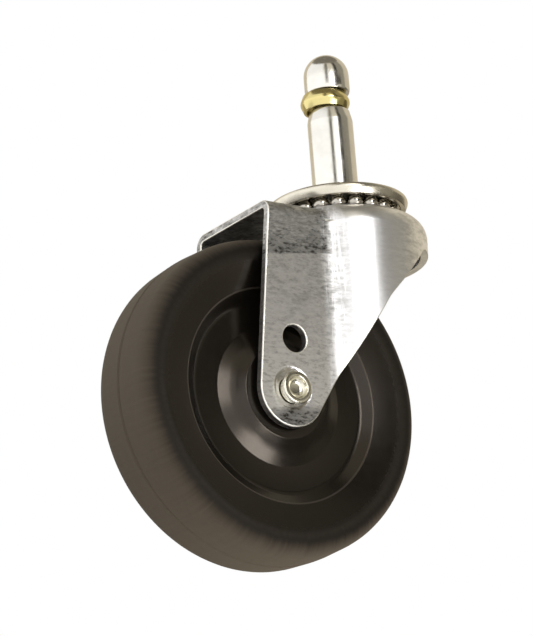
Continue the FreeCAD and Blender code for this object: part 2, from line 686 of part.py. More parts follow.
def make_thrust_washers():
    """One flat washer at each end of the hub."""
    washers = []
    for label, sign in (("thrust_washer_near", "-"), ("thrust_washer_far", "")):
        body = new_body(label)
        turn(body, "Revolution", "blank", [
            ("dim.sleeve_radius + dim.running_play", f"{sign}{WASHER_INNER}"),
            ("dim.washer_radius", f"{sign}{WASHER_INNER}"),
            ("dim.washer_radius", f"{sign}{WASHER_OUTER}"),
            ("dim.sleeve_radius + dim.running_play", f"{sign}{WASHER_OUTER}"),
        ])
        lay_on_axle(body)
        washers.append(body)
    return washers


def main():
    pieces = [make_stem(), make_grip_ring(), make_upper_raceway(), make_lower_raceway()]
    pieces += make_balls("upper", dim.upper_count, dim.upper_pitch, UPPER_DROP)
    pieces += make_balls("lower", dim.lower_count, dim.lower_pitch, LOWER_DROP)
    pieces += [make_fork(), make_axle_rivet(), make_axle_sleeve()]
    pieces += [make_wheel(), make_hub_bush()] + make_thrust_washers()
    doc.recompute()
    for item in doc.Objects:
        faults = [state for state in item.State if state in ("Invalid", "Error")]
        if faults:
            raise RuntimeError(f"{item.Label} failed to build: {faults}")
    for piece in pieces:
        if piece.Shape.isNull() or not piece.Shape.isValid() or not piece.Shape.Solids:
            raise RuntimeError(f"{piece.Label} has no valid solid")
    os.makedirs("parts", exist_ok=True)
    for piece in pieces:
        piece.Shape.exportStep(f"parts/{piece.Label}.step")
    print(f"{len(pieces)} parts written")


main()
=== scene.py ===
import math

import bmesh
import bpy
from bpy.props import FloatProperty, FloatVectorProperty, IntProperty, PointerProperty
from mathutils import Matrix, Vector


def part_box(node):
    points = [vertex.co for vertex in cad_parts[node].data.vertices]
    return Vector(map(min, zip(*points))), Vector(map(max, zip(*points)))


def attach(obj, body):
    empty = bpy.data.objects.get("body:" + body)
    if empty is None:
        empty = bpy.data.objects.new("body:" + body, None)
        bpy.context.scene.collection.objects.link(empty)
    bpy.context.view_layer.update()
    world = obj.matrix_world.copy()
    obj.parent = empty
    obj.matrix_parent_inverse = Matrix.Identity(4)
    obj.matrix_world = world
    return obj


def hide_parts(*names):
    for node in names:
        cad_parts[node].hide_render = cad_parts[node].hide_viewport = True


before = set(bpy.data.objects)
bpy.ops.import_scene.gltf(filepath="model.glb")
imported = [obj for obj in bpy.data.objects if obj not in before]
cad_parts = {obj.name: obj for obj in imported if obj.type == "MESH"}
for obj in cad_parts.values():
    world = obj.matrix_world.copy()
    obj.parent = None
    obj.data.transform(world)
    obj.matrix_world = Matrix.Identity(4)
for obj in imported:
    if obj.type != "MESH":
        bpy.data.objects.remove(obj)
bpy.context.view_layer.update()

bl_info = {
    "name": "Rubber swivel castor",
    "version": (1, 0, 0),
    "blender": (4, 5, 0),
    "location": "3D View > Sidebar > Castor",
    "description": "Dresses the packed swivel castor: plated steel, brass grip ring and "
                   "moulded rubber",
    "category": "Object",
}

MM = 0.001


def linear(code):
    """Turns a six-digit sRGB hex value to linear red, green and blue."""
    steps = [int(code[start:start + 2], 16) / 255 for start in (0, 2, 4)]
    return [step / 12.92 if step <= 0.04045 else ((step + 0.055) / 1.055) ** 2.4
            for step in steps]


def length(name, description, millimetres):
    """A size of the castor, kept in metres and shown in the scene's unit."""
    return FloatProperty(name=name, description=description, default=millimetres * MM,
                         min=0.0, subtype="DISTANCE", unit="LENGTH", precision=5)


def colour(name, description, code):
    """A colour of the castor, written as sRGB hex."""
    return FloatVectorProperty(name=name, description=description, default=linear(code),
                               min=0.0, max=1.0, size=3, subtype="COLOR")


# Sizes and colours that a user would change
class StemSettings(bpy.types.PropertyGroup):
    radius: length("Radius", "Shank of the stem", 5.556)
    height: length("Length", "Seat to the top of the dome", 38.1)
    foot_radius: length("Foot radius", "Low shoulder sunk flush in the seat", 5.9)
    neck_radius: length("Neck radius", "Neck that holds the grip ring", 3.85)
    neck_low: length("Neck foot", "Lower end of the neck above the seat", 23.2)
    neck_high: length("Neck top", "Upper end of the neck above the seat", 28.0)
    plate: colour("Plate", "Bright plating of the stem", "dedbd4")


class RingSettings(bpy.types.PropertyGroup):
    bulge: length("Bulge radius", "Where the flanks of the strip would meet", 6.2)
    mouth: length("Mouth radius", "Inside of the strip at its two edges", 4.75)
    sheet: length("Sheet", "Thickness of the strip", 0.6)
    brass: colour("Brass", "Bright brass of the ring", "d5c78a")


class RacewaySettings(bpy.types.PropertyGroup):
    cap_radius: length("Cap radius", "Where top and rim of the cap would meet", 17.59)
    lip_radius: length("Lip radius", "Lower rim of the cap", 16.39)
    cup_radius: length("Cup radius", "Lower raceway", 12.6)
    plate: colour("Plate", "Zinc plate of both raceways", "d0cabb")


class BallSettings(bpy.types.PropertyGroup):
    radius: length("Radius", "One ball", 1.984)
    rings: IntProperty(name="Rings", description="Subdivisions of a ball", default=4, min=2, max=5)
    steel: colour("Steel", "Polished and greased balls", "aea9a0")


class ForkSettings(bpy.types.PropertyGroup):
    edge: length("Edge", "Worn rounding of the sheet's edges", 0.28)
    plate: colour("Plate", "Zinc plate where it is clean", "e4e3e3")
    dull: colour("Dull plate", "Zinc plate where it is scuffed", "a09f9c")
    # Brighter than the plate: partly the clean sheared edge, partly a painted highlight
    edge_zinc_and_highlight: colour("Edge", "Sheared edge of the sheet, brighter for a painted highlight", "e8e5dc")


class RivetSettings(bpy.types.PropertyGroup):
    radius: length("Radius", "Shank of the rivet", 3.1)
    flare: length("Flare radius", "Rolled end of the rivet", 3.9)
    mouth: length("Cup mouth", "Cup in each end, at its mouth", 2.6)
    floor: length("Cup floor", "The same cup at its floor", 2.1)
    hollow: length("Cup depth", "Depth of the same cup", 1.5)
    plate: colour("Plate", "Bright zinc of the rivet", "dedaca")


class WheelSettings(bpy.types.PropertyGroup):
    radius: length("Radius", "Wheel over the tread", 38.08)
    tread_corner: length("Tread corner", "Radius where side and tread would meet", 37.44)
    tread_half: length("Half tread", "Half width at the same corner", 12.6)
    bend: length("Edge rounding", "Rounded edge of the tread", 4.8)
    tread: colour("Tread", "Dull, dusty rubber of the tread", "584f43")
    side: colour("Side", "Glossy moulded rubber of the sides", "120f0b")


class StageSettings(bpy.types.PropertyGroup):
    lens: FloatProperty(name="Lens", description="Focal length of the camera in millimetres",
                        default=153.92, min=10.0)
    key: FloatProperty(name="Key light", description="Power of the large soft light in watts",
                       default=0.85, min=0.0)
    world: FloatProperty(name="Room light", description="Strength of the light from all round",
                         default=0.55, min=0.0)
    floor: colour("Floor", "Pale floor", "f4f4f2")


SETTINGS = {
    "castor_stem": StemSettings,
    "castor_ring": RingSettings,
    "castor_raceways": RacewaySettings,
    "castor_balls": BallSettings,
    "castor_fork": ForkSettings,
    "castor_rivet": RivetSettings,
    "castor_wheel": WheelSettings,
    "castor_stage": StageSettings,
}

# Places and sizes that several pieces share
LEAD = 27.34 * MM          # the axle runs this far behind the swivel axis
AXLE_DROP = 54.05 * MM     # and this far below the seat
LEG_HALF = 13.7 * MM       # outer face of a leg at the axle, from the middle plane
TENON = 4.0 * MM           # the stem's tenon, and the raceways' bores on it
SEAT_SINK = 0.4 * MM       # how deep the stem's low shoulder is sunk in the seat
RIVET_BORE = 3.15 * MM     # the sleeve's bore, on the rivet
SLEEVE_BORE = 4.3 * MM     # bore of bush and washers, on the sleeve
BUSH_OUTSIDE = 6.0 * MM    # the bush, pressed in the wheel's hub

ON_AXLE = (Matrix.Translation((-LEAD, 0.0, -AXLE_DROP))
           @ Matrix.Rotation(math.radians(-90), 4, "X"))

# Vertices closer than this are one
WELD = 1e-7


# Meshes
def round_corners(bm, corners, bends):
    """Joins corners into a closed wire in the XZ plane and rounds those that have a bend."""
    least_steps, steps_for_each_mm = 4, 1.5
    spots = [Vector((across, 0.0, up)) for across, up in corners]
    verts = [bm.verts.new(spot) for spot in spots]
    for index, vert in enumerate(verts):
        bm.edges.new((vert, verts[(index + 1) % len(verts)]))
    for index, radius in bends.items():
        back = spots[index - 1] - spots[index]
        ahead = spots[(index + 1) % len(spots)] - spots[index]
        half = back.angle(ahead) / 2
        bmesh.ops.bevel(bm, geom=[verts[index]], offset=radius / math.tan(half),
                        offset_type="OFFSET", profile=0.5, affect="VERTICES", material=-1,
                        segments=round(least_steps + radius / MM * steps_for_each_mm))


def finish_mesh(bm, name, smooth_angle=35.0):
    """Turns a bmesh into a smooth-shaded object whose sharp edges stay sharp."""
    mesh = bpy.data.meshes.new(name)
    bm.to_mesh(mesh)
    bm.free()
    mesh.shade_smooth()
    mesh.set_sharp_from_angle(angle=math.radians(smooth_angle))
    piece = bpy.data.objects.new(name, mesh)
    bpy.context.scene.collection.objects.link(piece)
    return piece


def turned(name, corners, bends, steps=160, sweep=math.tau, place=None):
    """A piece turned about the upright axis from a closed outline of (radius, height) corners."""
    bm = bmesh.new()
    round_corners(bm, corners, bends)
    full = sweep == math.tau
    bmesh.ops.spin(bm, geom=bm.verts[:] + bm.edges[:], cent=(0, 0, 0), axis=(0, 0, 1),
                   angle=sweep, steps=steps, use_merge=full, use_duplicate=False)
    bmesh.ops.remove_doubles(bm, verts=bm.verts, dist=WELD)
    if not full:
        ends = [edge for edge in bm.edges if edge.is_boundary]
        bmesh.ops.holes_fill(bm, edges=ends, sides=0)
    bmesh.ops.dissolve_degenerate(bm, edges=bm.edges, dist=WELD)
    bmesh.ops.recalc_face_normals(bm, faces=bm.faces)
    if place is not None:
        bmesh.ops.transform(bm, matrix=place, verts=bm.verts)
    return finish_mesh(bm, name)


def both_halves(corners, bends, middle=()):
    """Mirrors a half outline, with its bends, to the other side of its middle corners."""
    whole = [*corners, *middle, *((across, -up) for across, up in reversed(corners))]
    rounded = dict(bends)
    rounded.update({len(whole) - 1 - index: radius for index, radius in bends.items()})
    return whole, rounded


def settle(piece, body, slot, material, *nodes):
    """Gives a piece its material and its body, and lets it stand for its solids. The slot is not
    used.
    """
    piece.data.materials.clear()
    piece.data.materials.append(material)
    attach(piece, body)
    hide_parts(*nodes)


# Materials
def add_node(tree, kind, settings=None, links=None):
    """Adds a node. Settings hold its properties and the values of its sockets. Links lead to its
    sockets from other sockets, or from the first output of other nodes."""
    node = tree.nodes.new(kind)
    for key, value in (settings or {}).items():
        if isinstance(key, int) or key in node.inputs:
            node.inputs[key].default_value = value
        else:
            setattr(node, key, value)
    for key, source in (links or {}).items():
        socket = source.outputs[0] if isinstance(source, bpy.types.Node) else source
        tree.links.new(socket, node.inputs[key])
    return node


def new_material(name):
    """An empty node material, its tree and its output node."""
    material = bpy.data.materials.new(name)
    material.use_nodes = True
    tree = material.node_tree
    tree.nodes.clear()
    return material, tree, add_node(tree, "ShaderNodeOutputMaterial")


def rgba(tone, share=1.0):
    """A share of a colour, with full alpha."""
    return (*(part * share for part in tone), 1.0)


# Tool marks are long along the axes where these are small
ROUND_STEM = (0.05, 0.05, 1.0)
ALONG_AXLE = (1.0, 0.1, 1.0)
ACROSS_SHEET = (1.0, 0.2, 1.0)
EVEN = (1.0, 1.0, 1.0)


def polished_plate(name, tone, roughness, mark_mm, depth_mm, stretch):
    """Bright plating or bare turned metal: a clean mirror with faint tool marks.

    The marks are mark_mm apart and depth_mm deep. Handling leaves dull clouds, 4 mm across.
    """
    material, tree, output = new_material(name)
    place = add_node(tree, "ShaderNodeTexCoord").outputs["Object"]
    marks_at = add_node(tree, "ShaderNodeMapping",
                        {"Scale": [part / (mark_mm * MM) for part in stretch]}, {"Vector": place})
    marks = add_node(tree, "ShaderNodeTexNoise", {"Scale": 1.0, "Detail": 2.0},
                     {"Vector": marks_at})
    clouds = add_node(tree, "ShaderNodeTexNoise", {"Scale": 1 / (4 * MM), "Detail": 3.0},
                      {"Vector": place})
    dulled = add_node(tree, "ShaderNodeMapRange",
                      {"From Min": 0.35, "From Max": 0.75,
                       "To Min": roughness, "To Max": roughness * 1.7}, {"Value": clouds})
    tint = add_node(tree, "ShaderNodeMix",
                    {"data_type": "RGBA", 6: rgba(tone), 7: rgba(tone, 0.82)}, {0: clouds})
    relief = add_node(tree, "ShaderNodeBump", {"Strength": 0.25, "Distance": depth_mm * MM},
                      {"Height": marks})
    shader = add_node(tree, "ShaderNodeBsdfPrincipled", {"Metallic": 1.0},
                      {"Base Color": tint.outputs[2], "Roughness": dulled, "Normal": relief})
    tree.links.new(shader.outputs["BSDF"], output.inputs["Surface"])
    return material


def bare_steel(name):
    """Plain turned steel inside the hub: grey, with fine marks of the lathe along the axle."""
    return polished_plate(name, linear("8f8a82"), roughness=0.3, mark_mm=0.3, depth_mm=0.02,
                          stretch=ALONG_AXLE)


def about_axle(tree, place):
    """The way from the axle in the plane of the wheel, and its length."""
    from_axle = add_node(tree, "ShaderNodeVectorMath",
                         {"operation": "SUBTRACT", 1: (-LEAD, 0.0, -AXLE_DROP)}, {0: place})
    way = add_node(tree, "ShaderNodeVectorMath",
                   {"operation": "MULTIPLY", 1: (1.0, 0.0, 1.0)}, {0: from_axle})
    reach = add_node(tree, "ShaderNodeVectorMath", {"operation": "LENGTH"}, {0: way})
    return way, reach.outputs["Value"]


def zinc_on_drawn_sheet(name, clean, dull):
    """Zinc plate on drawn steel sheet: a soft mirror, finely mottled, with the marks of its tools.

    The punch left the top of each leg dull down to about 21 mm below the seat, and the
    riveting tool marked its foot. Light draw streaks run down the bend to the skirt.
    """
    material, tree, output = new_material(name)
    place = add_node(tree, "ShaderNodeTexCoord").outputs["Object"]
    axes = add_node(tree, "ShaderNodeSeparateXYZ", None, {"Vector": place})
    values = {"across": axes.outputs["X"], "up": axes.outputs["Z"]}
    way, values["reach"] = about_axle(tree, place)

    # Noise: its features' size along X, Y and Z in millimetres, detail, roughness and a shift
    for pattern, sizes_mm, detail, rough, shift in (
            ("mottle", (3.0, 3.0, 1.0), 7.0, 0.72, 0.0),
            ("clouds", (9.0, 9.0, 6.0), 3.0, 0.5, 3.0),
            ("streaks", (0.45, 0.45, 14.0), 3.0, 0.6, 7.0),
            ("specks", (1.7, 1.7, 0.7), 8.0, 0.74, 11.0),
            ("grain", (0.5, 0.5, 0.3), 4.0, 0.7, 5.0)):
        placed = add_node(tree, "ShaderNodeMapping",
                          {"Scale": [1 / (size * MM) for size in sizes_mm],
                           "Location": (shift, shift, shift)}, {"Vector": place})
        values[pattern] = add_node(tree, "ShaderNodeTexNoise",
                                   {"Scale": 1.0, "Detail": detail, "Roughness": rough},
                                   {"Vector": placed})

    # The marks of punch and riveting tool end along a ragged line that leans with the castor
    level = add_node(tree, "ShaderNodeMath", {"operation": "MULTIPLY_ADD", 1: -0.13},
                     {0: values["across"], 2: values["up"]})
    values["ragged"] = add_node(tree, "ShaderNodeMath", {"operation": "MULTIPLY_ADD", 1: 1.2 * MM},
                                {0: values["mottle"], 2: level})
    values["mixed"] = add_node(tree, "ShaderNodeMath", {"operation": "MULTIPLY_ADD", 1: 0.35},
                               {0: values["clouds"], 2: values["mottle"]})

    # Soft steps: what is measured, where the step begins and ends, and its level on each side
    for step, value, begin, end, low, high in (
            ("on_leg", "across", -16.2 * MM, -13.6 * MM, 1.0, 0.0),
            ("past_bend", "across", -15.0 * MM, -9.0 * MM, 0.0, 1.0),
            ("on_front", "across", -1.0 * MM, 6.0 * MM, 0.0, 0.6),
            ("bend_begins", "across", -17.8 * MM, -15.4 * MM, 0.0, 1.0),
            ("bend_ends", "across", -12.6 * MM, -11.0 * MM, 1.0, 0.0),
            ("above_foot", "up", -50.0 * MM, -30.0 * MM, 0.2, 1.0),
            ("under_punch", "ragged", -17.9 * MM, -17.2 * MM, 0.0, 1.0),
            ("at_foot", "ragged", -55.8 * MM, -53.2 * MM, 1.0, 0.0),
            ("off_dent", "reach", 4.5 * MM, 5.7 * MM, 0.0, 1.0),
            ("scuffed", "mixed", 0.52, 0.86, 0.0, 1.0),
            ("cloudy", "clouds", 0.42, 0.6, 1.0, 0.3),
            ("foot_stain", "clouds", 0.35, 0.6, 0.2, 0.45),
            ("streaked", "streaks", 0.50, 0.66, 0.0, 1.0),
            ("streak_blur", "streaks", 0.35, 0.65, 0.12, 0.3),
            ("speckled", "specks", 0.46, 0.66, 0.0, 1.0)):
        values[step] = add_node(tree, "ShaderNodeMapRange",
                                {"interpolation_type": "SMOOTHSTEP", "From Min": begin,
                                 "From Max": end, "To Min": low, "To Max": high},
                                {"Value": values[value]})

    # Sums: each term is one of the values or a plain number. The skirt is the least worn, and the
    # leg's plate grows lighter towards its foot. Dark specks and dashes, up to 2 mm long, are
    # thickest where the tools pressed. The bend begins softly, so its mirror blurs, in some
    # streaks more.
    for result, operation, *terms in (
            ("pressed", "MAXIMUM", "under_punch", "at_foot"),
            ("marked", "MULTIPLY", "on_leg", "pressed"),
            ("marked", "MULTIPLY", "marked", "cloudy"),
            ("on_wrap", "SUBTRACT", "past_bend", "on_front"),
            ("kept", "MULTIPLY_ADD", "on_wrap", -0.75, 1.0),
            ("worn", "MULTIPLY", "scuffed", "kept"),
            ("worn", "MULTIPLY", "worn", "above_foot"),
            ("worn", "MULTIPLY_ADD", "marked", 0.8, "worn"),
            ("near_bend", "MULTIPLY", "bend_begins", "bend_ends"),
            ("drawn", "MULTIPLY", "near_bend", "streaked"),
            ("worn", "SUBTRACT", "worn", "drawn"),
            ("dark", "MULTIPLY", "on_leg", 0.42),
            ("dark", "MULTIPLY_ADD", "marked", 0.6, "dark"),
            ("dark", "MULTIPLY", "dark", "speckled"),
            ("dark", "MULTIPLY_ADD", "marked", 0.25, "dark"),
            ("dark", "MULTIPLY_ADD", "at_foot", "foot_stain", "dark"),
            ("blurred", "MULTIPLY", "near_bend", "streak_blur")):
        numbers = {index: term for index, term in enumerate(terms) if not isinstance(term, str)}
        sources = {index: values[term] for index, term in enumerate(terms)
                   if isinstance(term, str)}
        values[result] = add_node(tree, "ShaderNodeMath", {"operation": operation, **numbers},
                                  sources)

    worn = add_node(tree, "ShaderNodeClamp", None, {"Value": values["worn"]})
    tint = add_node(tree, "ShaderNodeMix",
                    {"data_type": "RGBA", 6: rgba(clean), 7: rgba(dull)}, {0: worn})
    stained = add_node(tree, "ShaderNodeMix", {"data_type": "RGBA", 7: rgba(linear("3b3936"))},
                       {0: values["dark"], 6: tint.outputs[2]})
    gloss = add_node(tree, "ShaderNodeMapRange", {"To Min": 0.30, "To Max": 0.44},
                     {"Value": worn})
    rough = add_node(tree, "ShaderNodeMath", {"operation": "ADD"},
                     {0: gloss, 1: values["blurred"]})
    relief = add_node(tree, "ShaderNodeBump", {"Strength": 0.35, "Distance": 0.012 * MM},
                      {"Height": values["grain"]})
    waves = add_node(tree, "ShaderNodeBump", {"Strength": 0.3, "Distance": 0.05 * MM},
                     {"Height": values["mottle"], "Normal": relief})
    # The riveting tool left a shallow round dent about the axle
    dent = add_node(tree, "ShaderNodeBump", {"Strength": 1.0, "Distance": 0.12 * MM},
                    {"Height": values["off_dent"], "Normal": waves})
    shader = add_node(tree, "ShaderNodeBsdfPrincipled", {"Metallic": 1.0},
                      {"Base Color": stained.outputs[2], "Roughness": rough, "Normal": dent})
    tree.links.new(shader.outputs["BSDF"], output.inputs["Surface"])
    return material


def moulded_rubber(name, sizes):
    """Moulded black rubber: glossy from the mould on its sides, dull and dusty on the tread."""
    material, tree, output = new_material(name)
    place = add_node(tree, "ShaderNodeTexCoord").outputs["Object"]
    way, radius = about_axle(tree, place)
    # Feathered wear that runs outwards where the side turns into the tread, 34 mm from the
    # axle, in strokes 0.9 mm apart
    outwards = add_node(tree, "ShaderNodeVectorMath", {"operation": "NORMALIZE"}, {0: way})
    feather_at = add_node(tree, "ShaderNodeVectorMath",
                          {"operation": "SCALE", "Scale": 34.0 / 0.9}, {0: outwards})
    feather = add_node(tree, "ShaderNodeTexNoise", {"Scale": 1.0, "Detail": 3.0},
                       {"Vector": feather_at})
    reach = add_node(tree, "ShaderNodeMath", {"operation": "MULTIPLY_ADD", 1: 1.3 * MM},
                     {0: feather, 2: radius})

    # Soft steps outwards from the axle. The gloss ends a little before the dust begins, and
    # a fine painted highlight, a ring of lighter rubber, runs on the edge where the dished side
    # begins.
    steps = {}
    for step, value, begin, end, low, high in (
            ("on_tread", reach, sizes.radius - 3.1 * MM, sizes.radius + 0.8 * MM, 0.0, 1.0),
            ("dulled", reach, sizes.radius - 6.8 * MM, sizes.radius - 2.2 * MM, 0.0, 1.0),
            ("highlight_ring_begins", radius, 25.25 * MM, 25.5 * MM, 0.0, 1.0),
            ("highlight_ring_ends", radius, 25.65 * MM, 25.9 * MM, 0.45, 0.0)):
        steps[step] = add_node(tree, "ShaderNodeMapRange",
                               {"interpolation_type": "SMOOTHSTEP", "From Min": begin,
                                "From Max": end, "To Min": low, "To Max": high},
                               {"Value": value})

    # Dust and scuffs, 2 mm across
    dust = add_node(tree, "ShaderNodeTexNoise",
                    {"Scale": 1 / (2 * MM), "Detail": 6.0, "Roughness": 0.7}, {"Vector": place})
    side = add_node(tree, "ShaderNodeMix",
                    {"data_type": "RGBA", 6: rgba(sizes.side, 0.8), 7: rgba(sizes.side, 1.25)},
                    {0: dust})
    tread = add_node(tree, "ShaderNodeMix",
                     {"data_type": "RGBA", 6: rgba(sizes.tread, 0.86), 7: rgba(sizes.tread, 1.14)},
                     {0: dust})
    tint = add_node(tree, "ShaderNodeMix", {"data_type": "RGBA"},
                    {0: steps["on_tread"], 6: side.outputs[2], 7: tread.outputs[2]})
    line = add_node(tree, "ShaderNodeMath", {"operation": "MULTIPLY"},
                    {0: steps["highlight_ring_begins"], 1: steps["highlight_ring_ends"]})
    # Painted highlight: this lighter ring stands in for the light that the side's edge catches
    painted_highlight_ring = add_node(tree, "ShaderNodeMix", {"data_type": "RGBA", 7: rgba(linear("544d44"))},
                     {0: line, 6: tint.outputs[2]})
    gloss = add_node(tree, "ShaderNodeMapRange", {"To Min": 0.17, "To Max": 0.62},
                     {"Value": steps["dulled"]})
    rough = add_node(tree, "ShaderNodeMath", {"operation": "MULTIPLY_ADD", 1: 0.1},
                     {0: dust, 2: gloss})
    shine = add_node(tree, "ShaderNodeMapRange",
                     {"interpolation_type": "SMOOTHSTEP", "To Min": 0.5, "To Max": 0.2},
                     {"Value": steps["dulled"]})
    relief = add_node(tree, "ShaderNodeBump", {"Strength": 0.3, "Distance": 0.02 * MM},
                      {"Height": dust})
    shader = add_node(tree, "ShaderNodeBsdfPrincipled",
                      {"IOR": 1.46, "Specular Tint": (1.0, 0.87, 0.74, 1.0)},
                      {"Base Color": painted_highlight_ring.outputs[2], "Specular IOR Level": shine,
                       "Roughness": rough, "Normal": relief})
    tree.links.new(shader.outputs["BSDF"], output.inputs["Surface"])
    return material


# Pieces
class CASTOR_OT_stem(bpy.types.Operator):
    """Turn the stem with its domed head, its neck and its riveted tenon"""
    bl_idname = "castor.stem"
    bl_label = "Stem"

    def execute(self, context):
        sizes = context.scene.castor_stem
        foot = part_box("stem")[0].z
        peen_radius, peen_sheet, peen_bend = 5.6 * MM, 1.5 * MM, 1.05 * MM
        taper, taper_end, taper_bend = 2.7 * MM, 4.95 * MM, 4.0 * MM
        head_foot, head_taper = 5.3 * MM, 0.8 * MM
        edge_bend, dome_flat = 0.25 * MM, 0.05 * MM
        corners = [
            (0.0, foot), (peen_radius, foot), (peen_radius, foot + peen_sheet),
            (TENON, foot + peen_sheet), (TENON, -SEAT_SINK), (sizes.foot_radius, -SEAT_SINK),
            (sizes.foot_radius, 0.0), (sizes.radius, 0.0),
            (sizes.radius, sizes.neck_low - taper), (taper_end, sizes.neck_low),
            (sizes.neck_radius, sizes.neck_low), (sizes.neck_radius, sizes.neck_high),
            (head_foot, sizes.neck_high), (sizes.radius, sizes.neck_high + head_taper),
            (sizes.radius, sizes.height), (0.0, sizes.height),
        ]
        bends = {1: peen_bend, 8: taper_bend, 9: edge_bend, 12: edge_bend,
                 14: sizes.radius - dome_flat}
        piece = turned("stem_pin", corners, bends)
        plate = polished_plate("Bright zinc over turned steel", sizes.plate, roughness=0.15,
                               mark_mm=0.25, depth_mm=0.01, stretch=ROUND_STEM)
        settle(piece, "mounting", "stem_plate", plate, "stem")
        return {"FINISHED"}


class CASTOR_OT_grip_ring(bpy.types.Operator):
    """Roll the split grip ring that lies loose in the stem's neck"""
    bl_idname = "castor.grip_ring"
    bl_label = "Grip ring"

    def execute(self, context):
        sizes = context.scene.castor_ring
        stem = context.scene.castor_stem
        end_gap, fold = 0.35 * MM, 0.72 * MM
        edge_bend, bulge_bend, hollow_bend = 0.12 * MM, 1.6 * MM, 1.0 * MM
        slack = (-0.65 * MM, 0.46 * MM, 0.0)
        first_turn, rolled = math.radians(67), math.radians(332)
        low, high = stem.neck_low + end_gap, stem.neck_high - end_gap
        middle = (low + high) / 2
        edge = sizes.mouth + sizes.sheet
        corners = [(sizes.mouth, low), (edge, low), (sizes.bulge, middle), (edge, high),
                   (sizes.mouth, high), (sizes.bulge - fold, middle)]
        bends = {1: edge_bend, 2: bulge_bend, 3: edge_bend, 5: hollow_bend}
        place = Matrix.Translation(slack) @ Matrix.Rotation(first_turn, 4, "Z")
        piece = turned("grip_ring_band", corners, bends, steps=120, sweep=rolled, place=place)
        brass = polished_plate("Bright rolled brass", sizes.brass, roughness=0.14,
                               mark_mm=0.4, depth_mm=0.01, stretch=ROUND_STEM)
        settle(piece, "mounting", "ring_brass", brass, "grip_ring")
        return {"FINISHED"}


class CASTOR_OT_raceways(bpy.types.Operator):
    """Press the cap over the upper balls and the cup under the lower balls"""
    bl_idname = "castor.raceways"
    bl_label = "Raceways"

    def execute(self, context):
        sizes = context.scene.castor_raceways
        plate = polished_plate("Zinc on pressed raceways", sizes.plate, roughness=0.2,
                               mark_mm=0.5, depth_mm=0.015, stretch=ROUND_STEM)
        cap, cup = self.press_cap(context, sizes), self.press_cup(sizes)
        settle(cap, "mounting", "raceway_plate", plate, "upper_raceway")
        settle(cup, "mounting", "raceway_plate", plate, "lower_raceway")
        return {"FINISHED"}

    def press_cap(self, context, sizes):
        shoulder = context.scene.castor_stem.foot_radius
        ceiling, sheet, lip_sheet, fold = -2.952 * MM, 2.0 * MM, 1.4 * MM, 0.6 * MM
        seat_edge, slope_foot = 7.5 * MM, 10.5 * MM
        seat_bend, rim_bend, lip_bend, under_bend = 1.5 * MM, 1.0 * MM, 0.35 * MM, 1.0 * MM
        step = ceiling + sheet
        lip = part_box("upper_raceway")[0].z
        lean = (sizes.cap_radius - sizes.lip_radius) / (step - lip)
        inner = sizes.lip_radius - lip_sheet
        corners = [
            (TENON, -SEAT_SINK), (shoulder, -SEAT_SINK), (shoulder, 0.0), (seat_edge, 0.0),
            (slope_foot, step), (sizes.cap_radius, step), (sizes.lip_radius, lip), (inner, lip),
            (inner + lean * (ceiling - lip), ceiling), (slope_foot - fold, ceiling),
            (seat_edge - fold, -sheet), (TENON, -sheet),
        ]
        bends = {3: seat_bend, 4: seat_bend, 5: rim_bend, 6: lip_bend, 7: lip_bend,
                 9: under_bend, 10: under_bend}
        return turned("upper_raceway_cap", corners, bends)

    def press_cup(self, sizes):
        wall, outer_bend, inner_bend = 1.6 * MM, 2.0 * MM, 0.4 * MM
        low, high = (corner.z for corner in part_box("lower_raceway"))
        corners = [
            (TENON, low), (sizes.cup_radius, low), (sizes.cup_radius, high),
            (sizes.cup_radius - wall, high), (sizes.cup_radius - wall, low + wall),
            (TENON, low + wall),
        ]
        return turned("lower_raceway_cup", corners, {1: outer_bend, 4: inner_bend}, steps=128)


class CASTOR_OT_balls(bpy.types.Operator):
    """Lay out both rows of balls, each one round"""
    bl_idname = "castor.balls"
    bl_label = "Balls"

    def execute(self, context):
        sizes = context.scene.castor_balls
        steel = polished_plate("Polished and greased ball steel", sizes.steel, roughness=0.08,
                               mark_mm=0.6, depth_mm=0.004, stretch=EVEN)
        for row in ("upper", "lower"):
            nodes = sorted(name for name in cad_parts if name.startswith(f"{row}_ball_"))
            bm = bmesh.new()
            for name in nodes:
                low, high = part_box(name)
                bmesh.ops.create_icosphere(bm, subdivisions=sizes.rings, radius=sizes.radius,
                                           matrix=Matrix.Translation((low + high) / 2))
            piece = finish_mesh(bm, f"{row}_ball_row", smooth_angle=180.0)
            settle(piece, f"{row}_balls", "ball_steel", steel, *nodes)
        return {"FINISHED"}


